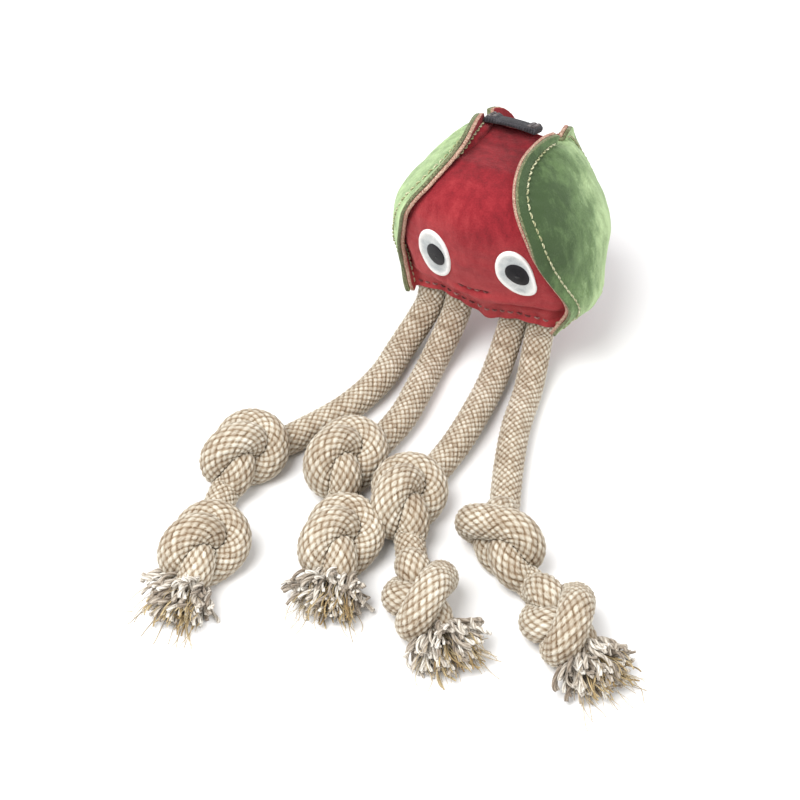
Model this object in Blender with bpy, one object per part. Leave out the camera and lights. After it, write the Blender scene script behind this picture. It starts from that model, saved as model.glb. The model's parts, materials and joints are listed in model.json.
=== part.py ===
"""Octopus pet toy: a stuffed suede head with four knotted rope legs.

Metres, +Z up. The toy rests on the plane z = 0, its face and its legs point towards -Y, and +X is
the toy's own left. The head is built in its own upright frame and leans back on the empty
head_frame; every leg is a chain of rope pieces that turn on their pivots.
"""

import math

import bmesh
import bpy
from mathutils import Matrix, Vector

MM = 0.001
GAP = 0.3 * MM

# Head: upright frame, X across, -Y the face, Z from the hem to the crown
HEM_HEIGHT = 24 * MM
HEM_SET_BACK = 5.5 * MM
TABLE_SHIFT = (-27 * MM, 63.2 * MM)
HEAD_LEAN = math.radians(24)
LEATHER = 1.5 * MM
FLANGE_WIDTH = 6.5 * MM
FRONT_BULGE = 14 * MM
BACK_DEPTH_SHARE = 0.85
GUTTER_WIDTH = 2.2 * MM
GUTTER_DEPTH = 1.6 * MM
GUSSET_BULGE = 12 * MM
SEAM_GAP = 0.6 * MM
HEAD_CENTRE_HEIGHT = 38 * MM
STUFFING_SHARE = 0.93
CHIN_HEIGHT = 11 * MM
CROWN_HEIGHT = 66 * MM
CROWN_HALF_GAP = 1.3 * MM
# Height, half width and half depth of the four seams, from the hem to the crown
SEAM_POINTS = (
    (0, 32, 5),
    (14, 35, 12.5),
    (29, 35.5, 27),
    (43.5, 30.5, 39.5),
    (56.5, 21.5, 41.5),
    (66.5, 16, 31.5),
    (73, 15, 17.5),
    (75.5, 15.5, 5.5),
)
SEAM_ROWS = 13
PANEL_COLUMNS = 20
GUSSET_COLUMNS = 8

# Ropes
BALL_RADIUS = 5.95 * MM
PIVOT_CLEARANCE = 6.35 * MM
ROPE_SIDES = 12
ROPE_LEVEL = 6.2 * MM
ROOT_OFFSETS = (-25, -12.5, 12.5, 25)
ROOT_THICKNESS = 8 * MM
ROOT_WIDTH = 12.1 * MM
ROOT_DEPTH = 8 * MM
SWING_DROP = 8 * MM
KNOT_RADIUS = 14.5 * MM
KNOT_HEIGHT = 13 * MM
KNEE_DISTANCE = 21.3 * MM
TUFT_LENGTH = 22 * MM

# Small parts
EYE_HEIGHT = 27.5 * MM
EYE_OFFSET = 17.5 * MM
EYE_HALF_SIZE = (8.5 * MM, 13 * MM)
PUPIL_HALF_SIZE = (5.2 * MM, 6.5 * MM)
EYE_THICKNESS = 0.8 * MM
MOUTH_HEIGHT = 13 * MM
THREAD_RADIUS = 0.45 * MM
STRAP_SIZE = (22 * MM, 10 * MM, 2 * MM)
STRAP_PLACE = -5 * MM

# Each leg's way over the table, as places of its lift pivot, bends, knots and frayed end, in mm
LEGS = (
    {
        "lift": (-29, -17),
        "way": ((-32, -38), (-37, -60), (-46, -82)),
        "upper_knot": (-57, -104),
        "knee_way": (-56, -132),
        "lower_knot": (-47, -155),
        "tuft": (-46, -180),
    },
    {
        "lift": (-13.5, -17),
        "way": ((-12, -36), (-11, -54), (-13, -71)),
        "upper_knot": (-20, -90),
        "knee_way": (-10, -113),
        "lower_knot": (-2, -130),
        "tuft": (5, -155),
    },
    {
        "lift": (13.5, -17),
        "way": ((15, -40), (15, -60), (13, -79)),
        "upper_knot": (11, -99),
        "knee_way": (24, -122),
        "lower_knot": (37, -142),
        "tuft": (56, -158),
    },
    {
        "lift": (29, -17),
        "way": ((33, -40), (39, -62), (46, -83)),
        "upper_knot": (53, -104),
        "knee_way": (73, -117),
        "lower_knot": (88, -131),
        "tuft": (108, -144),
    },
)


# Materials ------------------------------------------------------------------------------------


def material(name, colour, roughness=0.9):
    made = bpy.data.materials.new(name)
    made.use_nodes = True
    shader = made.node_tree.nodes["Principled BSDF"]
    shader.inputs["Base Color"].default_value = (*colour, 1)
    shader.inputs["Roughness"].default_value = roughness
    made.diffuse_color = (*colour, 1)
    return made


# Shapes ---------------------------------------------------------------------------------------


def add_object(name, mesh, surface, parent=None, origin=None):
    """Links a mesh made in its parent's frame, and puts the object's origin at the given point."""
    made = bpy.data.objects.new(name, mesh)
    bpy.context.scene.collection.objects.link(made)
    made.data.materials.append(surface)
    if origin is not None:
        mesh.transform(Matrix.Translation(-origin))
        made.location = origin
    if parent is not None:
        made.parent = parent
    return made


def loft(name, rings, surface, parent=None, origin=None, smooth=True):
    """One closed body through rings of equally many points, with a flat face on both end rings."""
    shape = bmesh.new()
    rows = [[shape.verts.new(point) for point in ring] for ring in rings]
    count = len(rows[0])
    for lower, upper in zip(rows, rows[1:]):
        for i in range(count):
            j = (i + 1) % count
            shape.faces.new((lower[i], lower[j], upper[j], upper[i]))
    shape.faces.new(rows[0][::-1])
    shape.faces.new(rows[-1])
    bmesh.ops.recalc_face_normals(shape, faces=shape.faces)
    mesh = bpy.data.meshes.new(name)
    shape.to_mesh(mesh)
    shape.free()
    if smooth:
        mesh.shade_smooth()
        mesh.set_sharp_from_angle(angle=math.radians(50))
    return add_object(name, mesh, surface, parent, origin)


def shell(name, rows, thickness, surface, parent):
    """A sheet through rows of points, thickened evenly on both sides."""
    shape = bmesh.new()
    grid = [[shape.verts.new(point) for point in row] for row in rows]
    for lower, upper in zip(grid, grid[1:]):
        for i in range(len(lower) - 1):
            shape.faces.new((lower[i], lower[i + 1], upper[i + 1], upper[i]))
    mesh = bpy.data.meshes.new(name)
    shape.to_mesh(mesh)
    shape.free()
    mesh.shade_smooth()
    made = add_object(name, mesh, surface, parent)
    solid = made.modifiers.new("thickness", "SOLIDIFY")
    solid.thickness = thickness
    solid.offset = 0
    solid.use_even_offset = True
    return made


def smooth_way(points, step):
    """Points about a step apart on a Catmull-Rom curve through the given points."""
    ends = [2 * points[0] - points[1], *points, 2 * points[-1] - points[-2]]
    way = []
    for before, start, end, after in zip(ends, ends[1:], ends[2:], ends[3:]):
        count = max(1, round((end - start).length / step))
        for i in range(count):
            t = i / count
            way.append(
                0.5 * (
                    2 * start
                    + (end - before) * t
                    + (2 * before - 5 * start + 4 * end - after) * t**2
                    + (3 * start - before - 3 * end + after) * t**3
                )
            )
    way.append(points[-1].copy())
    return way


def ring_at(centre, direction, width, height=None, sides=ROPE_SIDES, side_hint=Vector((0, 0, 1))):
    """A ring of points across a direction: width is the half size sideways, height the other one."""
    height = width if height is None else height
    across = direction.cross(side_hint).normalized()
    over = across.cross(direction).normalized()
    ring = []
    for i in range(sides):
        angle = math.tau * i / sides
        ring.append(centre + across * width * math.cos(angle) + over * height * math.sin(angle))
    return ring


def directions(way):
    """The direction of travel at each point of a way."""
    last = len(way) - 1
    return [(way[min(i + 1, last)] - way[max(i - 1, 0)]).normalized() for i in range(len(way))]


def tube_rings(way, radius, sides=ROPE_SIDES):
    rings = []
    for point, heading in zip(way, directions(way)):
        rings.append(ring_at(point, heading, radius, sides=sides))
    return rings


def ball_rings(centre, direction, radius):
    """The half ball that closes a tube behind its first ring."""
    rings = []
    for degrees in (15, 45, 70):
        angle = math.radians(degrees)
        place = centre - direction * radius * math.cos(angle)
        rings.append(ring_at(place, direction, radius * math.sin(angle)))
    return rings


# Head -----------------------------------------------------------------------------------------


def seam_way():
    """The seam at +X on the face side, as evenly spaced rows from the hem to the crown."""
    points = [Vector((x, -y, z)) * MM for z, x, y in SEAM_POINTS]
    fine = smooth_way(points, 1 * MM)
    lengths = [0]
    for start, end in zip(fine, fine[1:]):
        lengths.append(lengths[-1] + (end - start).length)
    way = []
    for row in range(SEAM_ROWS):
        wanted = lengths[-1] * row / (SEAM_ROWS - 1)
        i = min(range(len(fine)), key=lambda index: abs(lengths[index] - wanted))
        way.append(fine[i])
    return way


def seam_frames():
    """For each row: the seam point, the way its flange stands, the side the gusset is on, its share."""
    way = seam_way()
    frames = []
    for row, (point, heading) in enumerate(zip(way, directions(way))):
        share = row / (SEAM_ROWS - 1)
        middle = math.sin(math.pi * share)
        radial = (point - Vector((0, 0, HEAD_CENTRE_HEIGHT))).normalized()
        flange = radial - Vector((0.8 - 0.7 * share + 0.8 * middle, 0, 0))
        flange -= heading * flange.dot(heading)
        flange.normalize()
        side = heading.cross(flange).normalized()
        frames.append((point, flange, side, share))
    return frames


def mirrored(point, across, depth):
    return Vector((point.x * across, point.y * depth, point.z))


def flange_width(share):
    return FLANGE_WIDTH * (0.6 + 0.4 * math.sin(math.pi * share) ** 0.5)


def hem_depth(x):
    """Half depth of the hem's wave, which opens round the two pairs of rope ends."""
    spread = (abs(x) / MM - 18.75) / 13
    return (1.2 + 4.9 / (1 + spread**6)) * MM


def panel_point(x_share, point, share):
    """A point on the face panel's middle surface, between its two seams."""
    x = point.x * x_share
    fullness = math.sin(math.pi * share**0.5) * (1 - 0.35 * share)
    gutter = GUTTER_DEPTH * x_share**2 * math.sin(math.pi * share)
    bulge = FRONT_BULGE * (1 - x_share**2) * fullness - gutter
    depth = -point.y + bulge
    near_hem = max(0, 1 - point.z / CHIN_HEIGHT) ** 0.8
    depth = depth * (1 - near_hem) + hem_depth(x) * near_hem
    near_crown = max(0, (point.z - CROWN_HEIGHT) / (SEAM_POINTS[-1][0] * MM - CROWN_HEIGHT))
    crown_depth = CROWN_HALF_GAP - (point.y + CROWN_HALF_GAP) * x_share**4
    depth = depth * (1 - near_crown) + crown_depth * near_crown
    return Vector((x, -depth, point.z))


def face_point(x, height, lift=0.0):
    """A point at this place on the face panel, lifted off its middle surface."""

    def flat_point(at_x, at_height):
        frames = seam_frames()
        upper = next(i for i, frame in enumerate(frames) if frame[0].z > at_height)
        low, high = frames[upper - 1], frames[upper]
        share = (at_height - low[0].z) / (high[0].z - low[0].z)
        below = panel_point(at_x / low[0].x, low[0], low[3])
        above = panel_point(at_x / high[0].x, high[0], high[3])
        return below.lerp(above, share)

    across = flat_point(x + MM, height) - flat_point(x - MM, height)
    up = flat_point(x, height + MM) - flat_point(x, height - MM)
    return flat_point(x, height) + across.cross(up).normalized() * lift


def panel_rows(depth):
    """The face panel's rows, from flange to flange; a negative depth gives the back panel."""
    rows = []
    for frame in seam_frames():
        point, flange, side, share = frame
        root = point - side * (LEATHER + SEAM_GAP) / 2
        gutter = root - side * GUTTER_WIDTH
        edge = root + flange * flange_width(share)
        right = [gutter, root, root.lerp(edge, 0.5), edge]
        left = [mirrored(corner, -1, 1) for corner in reversed(right)]
        middle = []
        for column in range(2, PANEL_COLUMNS - 1):
            middle.append(panel_point(2 * column / PANEL_COLUMNS - 1, point, share))
        rows.append([mirrored(corner, 1, depth) for corner in left + middle + right])
    return rows


def gusset_root(frame):
    """Where the gusset's middle surface meets the front seam."""
    point, _, side, _ = frame
    return point + side * (LEATHER + SEAM_GAP) / 2


def gusset_point(y_share, frame):
    """A point on the gusset's middle surface, from its front seam at -1 to its back seam at 1."""
    root = gusset_root(frame)
    bulge = GUSSET_BULGE * math.sin(math.pi * frame[3] ** 1.5) * (1 - y_share**2)
    depth = BACK_DEPTH_SHARE if y_share > 0 else 1
    return Vector((root.x + bulge, -root.y * y_share * depth, root.z))


def gusset_rows(across):
    """One leaf-shaped side, from its front flange to its back flange."""
    rows = []
    for frame in seam_frames():
        root = gusset_root(frame)
        edge = root + frame[1] * flange_width(frame[3])
        front = [edge, edge.lerp(root, 0.5), root]
        back = [mirrored(corner, 1, -BACK_DEPTH_SHARE) for corner in reversed(front)]
        middle = []
        for column in range(1, GUSSET_COLUMNS):
            middle.append(gusset_point(2 * column / GUSSET_COLUMNS - 1, frame))
        rows.append([mirrored(corner, across, 1) for corner in front + middle + back])
    return rows


def make_stuffing(parent, surface):
    """The filling, just inside the four panels and above the rope ends."""
    rings = []
    for frame in seam_frames()[2 : SEAM_ROWS - 2]:
        point, _, _, share = frame
        face = []
        for column in range(3, PANEL_COLUMNS - 2):
            face.append(panel_point(2 * column / PANEL_COLUMNS - 1, point, share))
        side = []
        for column in range(2, GUSSET_COLUMNS - 1):
            side.append(gusset_point(2 * column / GUSSET_COLUMNS - 1, frame))
        around = face + side
        around += [mirrored(point, 1, -BACK_DEPTH_SHARE) for point in reversed(face)]
        around += [mirrored(point, -1, 1) for point in reversed(side)]
        middle = Vector((0, 0, HEAD_CENTRE_HEIGHT))
        rings.append([middle + (point - middle) * STUFFING_SHARE for point in around])
    loft("stuffing", rings, surface, parent)


def make_head(head_frame, surfaces):
    shell("front_panel", panel_rows(1), LEATHER, surfaces["red"], head_frame)
    shell("back_panel", panel_rows(-BACK_DEPTH_SHARE), LEATHER, surfaces["red"], head_frame)
    shell("side_gusset_left", gusset_rows(1), LEATHER, surfaces["green"], head_frame)
    shell("side_gusset_right", gusset_rows(-1), LEATHER, surfaces["green"], head_frame)
    make_stuffing(head_frame, surfaces["white"])
    make_seam_threads(head_frame, surfaces["thread"])
    make_hem_threads(head_frame, surfaces["dark_thread"])
    make_eyes(head_frame, surfaces)
    make_mouth(head_frame, surfaces["dark_thread"])
    make_strap(head_frame, surfaces)


def make_seam_threads(parent, surface):
    """One run of thread along each flange's root, on the gusset's outer side."""
    lift = LEATHER + SEAM_GAP / 2 + 2 * GAP + THREAD_RADIUS
    line = [point + side * lift + flange * 0.8 * MM for point, flange, side, _ in seam_frames()[1:-1]]
    for front_name, depth in (("front", 1), ("back", -BACK_DEPTH_SHARE)):
        for side_name, across in (("left", 1), ("right", -1)):
            way = [mirrored(point, across, depth) for point in line]
            name = f"seam_thread_{front_name}_{side_name}"
            loft(name, tube_rings(way, THREAD_RADIUS, 6), surface, parent)


def face_line(height, half_width, count, lift):
    """Points across the face panel at one height, lifted off its middle surface."""
    return [face_point(half_width * (2 * i / (count - 1) - 1), height, lift) for i in range(count)]


def make_hem_threads(parent, surface):
    line = face_line(4 * MM, 27 * MM, 24, LEATHER / 2 + 2 * GAP + THREAD_RADIUS)
    loft("hem_thread_front", tube_rings(line, THREAD_RADIUS, 6), surface, parent)
    back = [mirrored(point, 1, -1) for point in line]
    loft("hem_thread_back", tube_rings(back, THREAD_RADIUS, 6), surface, parent)


def make_mouth(parent, surface):
    """A short stitched line between the eyes and the hem."""
    line = face_line(MOUTH_HEIGHT, 6 * MM, 7, LEATHER / 2 + 2 * GAP + THREAD_RADIUS)
    loft("mouth_stitch", tube_rings(line, THREAD_RADIUS, 6), surface, parent)


def eye_disc(name, x, half_size, bottom, top, surface, parent):
    """An oval patch that follows the face panel between two levels above it."""
    slope = face_point(x, EYE_HEIGHT + MM) - face_point(x, EYE_HEIGHT - MM)
    rise = slope.normalized().z
    rings = []
    for size, lift in ((0.3, bottom), (0.7, bottom), (1, bottom), (1, top), (0.7, top), (0.3, top)):
        ring = []
        for i in range(24):
            angle = math.tau * i / 24
            to_x = x + half_size[0] * size * math.cos(angle)
            to_height = EYE_HEIGHT + half_size[1] * size * math.sin(angle) * rise
            ring.append(face_point(to_x, to_height, lift))
        rings.append(ring)
    loft(name, rings, surface, parent)


def make_eyes(parent, surfaces):
    bottom = LEATHER / 2 + 2 * GAP
    for side_name, across in (("left", 1), ("right", -1)):
        x = EYE_OFFSET * across
        for part_name, half_size, height, colour in (
            ("white", EYE_HALF_SIZE, bottom, "white"),
            ("pupil", PUPIL_HALF_SIZE, bottom + EYE_THICKNESS + GAP, "black"),
        ):
            name = f"eye_{part_name}_{side_name}"
            eye_disc(name, x, half_size, height, height + EYE_THICKNESS, surfaces[colour], parent)


def make_strap(parent, surfaces):
    """A webbing strap that lies across the crown, with a bar of stitches at each end."""
    length, width, thickness = STRAP_SIZE
    under = SEAM_POINTS[-1][0] * MM + LEATHER / 2 + 3 * GAP
    rings = []
    for i in range(7):
        share = i / 6 * 2 - 1
        lift = 0.8 * MM * (1 - share**2)
        x = share * length / 2
        bottom = under + lift
        front = STRAP_PLACE - width / 2
        back = STRAP_PLACE + width / 2
        rings.append(
            [
                Vector((x, front, bottom)),
                Vector((x, back, bottom)),
                Vector((x, back, bottom + thickness)),
                Vector((x, front, bottom + thickness)),
            ]
        )
    loft("top_strap", rings, surfaces["black"], parent, smooth=False)
    for side_name, across in (("left", 1), ("right", -1)):
        x = across * (length / 2 - 2.5 * MM)
        top = under + thickness + GAP + 0.5 * MM
        rings = []
        for y in (-3.5, -1, 1, 3.5):
            place = STRAP_PLACE + y * MM
            rings.append(
                [
                    Vector((x - 0.8 * MM, place, top)),
                    Vector((x + 0.8 * MM, place, top)),
                    Vector((x + 0.8 * MM, place, top + 0.8 * MM)),
                    Vector((x - 0.8 * MM, place, top + 0.8 * MM)),
                ]
            )
        loft(f"strap_tack_{side_name}", rings, surfaces["thread"], parent, smooth=False)


# Legs -----------------------------------------------------------------------------------------


def hem_direction():
    """The way out of the hem, down the leaning head."""
    return Vector((0, -math.sin(HEAD_LEAN), -math.cos(HEAD_LEAN)))


def hem_exit(index):
    shift_x, shift_y = TABLE_SHIFT
    return Vector((ROOT_OFFSETS[index] * MM + shift_x, HEM_SET_BACK + shift_y, HEM_HEIGHT))


def on_table(place, height):
    shift_x, shift_y = TABLE_SHIFT
    return Vector((place[0] * MM + shift_x, place[1] * MM + shift_y, height))


def make_root(index, surface):
    """The rope end that is sewn into the hem: flat between the panels, round below them."""
    outward = hem_direction()
    start = hem_exit(index)
    side = Vector((0, math.cos(HEAD_LEAN), -math.sin(HEAD_LEAN)))
    sections = (
        (-ROOT_DEPTH, ROOT_THICKNESS),
        (-1 * MM, ROOT_THICKNESS),
        (0.2 * MM, 9 * MM),
        (SWING_DROP - PIVOT_CLEARANCE, 2 * BALL_RADIUS),
    )
    rings = []
    for depth, thickness in sections:
        centre = start + outward * depth
        rings.append(ring_at(centre, outward, ROOT_WIDTH / 2, thickness / 2, side_hint=side))
    loft(f"leg_{index + 1}_root", rings, surface)


def make_bend(index, swing, lift, surface):
    """The short bend below the hem, from the swing pivot to just before the lift pivot."""
    heading = (lift - swing).normalized()
    end = lift - heading * PIVOT_CLEARANCE
    rings = ball_rings(swing, heading, BALL_RADIUS) + tube_rings([swing, end], BALL_RADIUS)
    loft(f"leg_{index + 1}_bend", rings, surface, origin=swing)


def rope_between(name, pivot, bends, knot, surface):
    """A rope with a ball end on its pivot, which ends at the face of its knot."""
    entry = knot + (bends[-1] - knot).normalized() * (KNOT_RADIUS + GAP)
    way = smooth_way([pivot, *bends, entry], 14 * MM)
    rings = ball_rings(pivot, directions(way)[0], BALL_RADIUS) + tube_rings(way, BALL_RADIUS)
    loft(name, rings, surface, origin=pivot)


def make_knot(name, centre, surface, origin):
    """A knot's outer shape, pressed flat where it lies on the table."""
    rings = []
    for step, degrees in enumerate((30, 45, 65, 85, 105, 125, 145, 163, 176)):
        angle = math.radians(degrees)
        height = 0 if step == 0 else centre.z - KNOT_RADIUS * 0.96 * math.cos(angle)
        ring = []
        reach = KNOT_RADIUS * 0.98 * math.sin(angle)
        for i in range(16):
            turn = math.tau * i / 16
            x = centre.x + reach * math.cos(turn)
            y = centre.y + reach * math.sin(turn)
            ring.append(Vector((x, y, height)))
        rings.append(ring)
    loft(name, rings, surface, origin=origin)


def make_tuft(index, knot, end, surface, origin):
    """The frayed end's outer shape: a brush that flares from the knot and lies on the table."""
    heading = Vector((end.x - knot.x, end.y - knot.y, 0)).normalized()
    start = knot + heading * (KNOT_RADIUS + 2 * GAP)
    rings = []
    sections = ((0, 6, 6), (0.3, 9, 7.5), (0.65, 12.5, 8.5), (0.9, 13, 8.5), (1, 11, 7))
    for share, width, height in sections:
        level = height * MM + (0 if share > 0.2 else 3 * MM)
        centre = Vector((start.x, start.y, level)) + heading * TUFT_LENGTH * share
        rings.append(ring_at(centre, heading, width * MM, height * MM))
    loft(f"leg_{index + 1}_frayed_end", rings, surface, origin=origin)


def make_leg(index, plan, surfaces):
    swing = hem_exit(index) + hem_direction() * SWING_DROP
    lift = on_table(plan["lift"], ROPE_LEVEL)
    upper_knot = on_table(plan["upper_knot"], KNOT_HEIGHT)
    lower_knot = on_table(plan["lower_knot"], KNOT_HEIGHT)
    knee_aim = on_table(plan["knee_way"], ROPE_LEVEL + 0.8 * MM)
    knee = Vector((upper_knot.x, upper_knot.y, knee_aim.z))
    knee += (knee_aim - knee).normalized() * KNEE_DISTANCE
    bends = [on_table(place, ROPE_LEVEL) for place in plan["way"]]
    bends[-1].z += 1.2 * MM
    name = f"leg_{index + 1}"
    make_root(index, surfaces["rope"])
    make_bend(index, swing, lift, surfaces["rope"])
    rope_between(f"{name}_upper_rope", lift, bends, upper_knot, surfaces["rope"])
    make_knot(f"{name}_upper_knot", upper_knot, surfaces["rope"], lift)
    rope_between(f"{name}_lower_rope", knee, [knee.lerp(knee_aim, 0.9)], lower_knot, surfaces["rope"])
    make_knot(f"{name}_lower_knot", lower_knot, surfaces["rope"], knee)
    make_tuft(index, lower_knot, on_table(plan["tuft"], 0), surfaces["tuft"], knee)


def main():
    for old in list(bpy.data.objects):
        bpy.data.objects.remove(old)
    surfaces = {
        "red": material("red_suede", (0.42, 0.035, 0.05)),
        "green": material("green_suede", (0.18, 0.28, 0.12)),
        "white": material("white_felt", (0.8, 0.8, 0.76)),
        "black": material("black_webbing", (0.02, 0.02, 0.022), 0.7),
        "thread": material("pale_thread", (0.75, 0.7, 0.5), 0.7),
        "dark_thread": material("dark_thread", (0.1, 0.02, 0.03), 0.7),
        "rope": material("cotton_rope", (0.62, 0.5, 0.36)),
        "tuft": material("cut_yarn", (0.68, 0.62, 0.5)),
    }
    head_frame = bpy.data.objects.new("head_frame", None)
    bpy.context.scene.collection.objects.link(head_frame)
    head_frame.location = (TABLE_SHIFT[0], TABLE_SHIFT[1] + HEM_SET_BACK, HEM_HEIGHT)
    head_frame.rotation_euler = (-HEAD_LEAN, 0, 0)
    make_head(head_frame, surfaces)
    for index, plan in enumerate(LEGS):
        make_leg(index, plan, surfaces)


main()
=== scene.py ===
import json
import math

import bpy
import numpy as np
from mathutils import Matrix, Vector, noise
from mathutils.bvhtree import BVHTree


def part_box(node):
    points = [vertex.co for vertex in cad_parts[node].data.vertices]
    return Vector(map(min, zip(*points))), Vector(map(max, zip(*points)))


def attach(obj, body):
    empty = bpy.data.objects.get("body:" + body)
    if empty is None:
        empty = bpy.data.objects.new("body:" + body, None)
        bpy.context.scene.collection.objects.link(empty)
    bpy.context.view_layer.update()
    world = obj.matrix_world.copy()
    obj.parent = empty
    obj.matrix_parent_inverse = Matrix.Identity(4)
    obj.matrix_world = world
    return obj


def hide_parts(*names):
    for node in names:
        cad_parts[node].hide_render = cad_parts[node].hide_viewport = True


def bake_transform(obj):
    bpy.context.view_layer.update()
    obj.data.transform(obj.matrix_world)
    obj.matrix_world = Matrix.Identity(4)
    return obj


# The looks of an octopus pet toy: a stuffed suede head with felt eyes and a webbing strap, on four
# braided rope legs, each tied twice and frayed at its end.

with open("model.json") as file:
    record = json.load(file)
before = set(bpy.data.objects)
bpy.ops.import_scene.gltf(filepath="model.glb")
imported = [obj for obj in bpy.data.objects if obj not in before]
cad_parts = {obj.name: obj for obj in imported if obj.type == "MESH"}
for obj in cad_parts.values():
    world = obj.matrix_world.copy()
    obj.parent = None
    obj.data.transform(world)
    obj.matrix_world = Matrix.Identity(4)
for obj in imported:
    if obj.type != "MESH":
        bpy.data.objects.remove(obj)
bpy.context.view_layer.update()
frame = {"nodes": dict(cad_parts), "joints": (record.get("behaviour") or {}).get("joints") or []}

MM = 0.001

# Camera and light
CAMERA_AIM = (-0.0459, 0.0233, 0.0)
CAMERA_AZIMUTH = 25
CAMERA_ELEVATION = 44
CAMERA_DISTANCE = 0.83
CAMERA_LENS = 90
# Azimuth and elevation in degrees, distance and size in metres, and power in watts
LIGHTS = {"key_light": (-25, 62, 1.1, 0.7, 13), "fill_light": (95, 40, 1.3, 0.9, 5)}
SKY_STRENGTH = 0.75
FLOOR_HALF_SIZE = 6

# Head, in its own upright frame: X across, -Y the face, Z from the hem to the crown
HEAD_LEAN = math.radians(24)
SWING_DROP = 8 * MM
LEATHER = 1.5 * MM
FLANGE_WIDTH = 6.5 * MM
FRONT_BULGE = 14 * MM
BACK_DEPTH_SHARE = 0.85
GUTTER_WIDTH = 2.2 * MM
GUTTER_DEPTH = 1.6 * MM
GUSSET_BULGE = 12 * MM
SEAM_GAP = 0.2 * MM
HEAD_CENTRE = np.array((0, 0, 38 * MM))
CHIN_HEIGHT = 11 * MM
CROWN_HEIGHT = 66 * MM
CROWN_HALF_GAP = 1.3 * MM
GUSSET_TIP = 9 * MM
TIP_SHARE = 0.13
# The back panel's top edge moves by this much, to pass under the face panel's
TUCK = np.array((0, -4, -2.6)) * MM
TUCK_ROWS = 8
TUCK_HALF_WIDTH = 14.5 * MM
# Height, half width and half depth of the four seams, from the hem to the crown, in mm
SEAM_POINTS = (
    (0, 32, 5),
    (14, 35, 12.5),
    (29, 35.5, 27),
    (43.5, 30.5, 39.5),
    (56.5, 21.5, 41.5),
    (66.5, 16, 31.5),
    (73, 15, 17.5),
    (75.5, 15.5, 5.5),
)
SEAM_TOP = SEAM_POINTS[-1][0] * MM
CHEEK_PUSH = 7 * MM
CHEEK_HEIGHT = 14 * MM
CHEEK_REACH = 11 * MM
HEAD_ORIGIN = np.array((-27, 68.7, 24)) * MM
HEAD_ROWS = 121
PANEL_COLUMNS = 20
GUSSET_COLUMNS = 10
COLUMN_SPLITS = 5
STITCH_PITCH = 3 * MM
STITCH_SIZE = 2.2 * MM
STITCH_LIFT = 0.12 * MM
HEM_STITCH_PITCH = 3.4 * MM
HEM_STITCH_SIZE = 2 * MM
THREAD_RADIUS = 0.42 * MM
MOUTH_HEIGHT = 13 * MM
MOUTH_HALF_WIDTH = 6 * MM
SMILE_RISE = 1.2 * MM
SMILE_WIDTH = 9 * MM
PUPIL_SHIFT = 0.9
# Across and up to the middle of each eye, and the half sizes of its white and its pupil, in mm
EYES = {
    "left": {"middle": (19, 28), "white": (7, 10.8), "pupil": (4.2, 4.9)},
    "right": {"middle": (-14.6, 26.7), "white": (7.7, 11.8), "pupil": (4.3, 5.4)},
}
SIDES = (("left", 1), ("right", -1))
# Share of the size, height in mm and edge value, from an eye's middle to its rim. The low edge values in
# the middle paint shade on the white; the rim stays white.
WHITE_PROFILE = (
    (0.04, 0.5, 0),
    (0.2, 0.5, 0),
    (0.4, 0.5, 0),
    (0.58, 0.5, 0.05),
    (0.72, 0.52, 0.15),
    (0.8, 0.62, 0.4),
    (0.86, 0.85, 0.8),
    (0.91, 0.98, 1),
    (0.955, 0.9, 1),
    (0.985, 0.66, 1),
    (1, 0.3, 0.9),
    (1, -0.3, 0.5),
)
PUPIL_PROFILE = (
    (0.05, 1.35, 0),
    (0.3, 1.33, 0),
    (0.55, 1.25, 0),
    (0.75, 1.12, 0.1),
    (0.9, 0.98, 0.3),
    (0.97, 0.84, 0.6),
    (1, 0.62, 0.8),
    (1, 0.2, 0.8),
)
STRAP_SIZE = (22 * MM, 10 * MM, 2 * MM)
STRAP_MIDDLE = (-2.5 * MM, -5 * MM)
STRAP_CORDS = 5.5

# Colours. Each suede has its nap's three tones, its cut edge's three tones and its sheen.
SUEDES = {
    "red_suede": (
        ((0.1, 0.005, 0.009), (0.24, 0.014, 0.021), (0.4, 0.045, 0.05)),
        ((0.16, 0.06, 0.045), (0.4, 0.25, 0.18), (0.66, 0.52, 0.41)),
        (1, 0.4, 0.4),
    ),
    "green_suede": (
        ((0.04, 0.07, 0.025), (0.12, 0.19, 0.075), (0.46, 0.6, 0.31)),
        ((0.045, 0.05, 0.025), (0.13, 0.14, 0.07), (0.33, 0.33, 0.2)),
        (0.8, 1, 0.7),
    ),
}
YARNS = {
    "cut_cotton": ((0.24, 0.19, 0.145), (0.52, 0.46, 0.385), (0.86, 0.83, 0.76)),
    "jute": ((0.2, 0.12, 0.045), (0.42, 0.3, 0.14), (0.62, 0.5, 0.29)),
    "pale_thread": ((0.2, 0.21, 0.09), (0.4, 0.41, 0.22), (0.62, 0.62, 0.42)),
    "hem_thread": ((0.06, 0.008, 0.01), (0.2, 0.05, 0.05), (0.45, 0.24, 0.22)),
    "dark_thread": ((0.02, 0.018, 0.02), (0.06, 0.05, 0.055), (0.2, 0.18, 0.18)),
}
# Each felt has its two tones and its roughness.
FELTS = {
    # The white felt's first tone is the grey-blue painted shade in the middle of the eyes.
    "white_felt": ((0.3, 0.34, 0.36), (0.84, 0.84, 0.82), 0.6),
    "black_felt": ((0.004, 0.004, 0.005), (0.02, 0.018, 0.022), 0.95),
    "stuffing": ((0.6, 0.58, 0.52), (0.85, 0.83, 0.78), 0.95),
}

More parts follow.
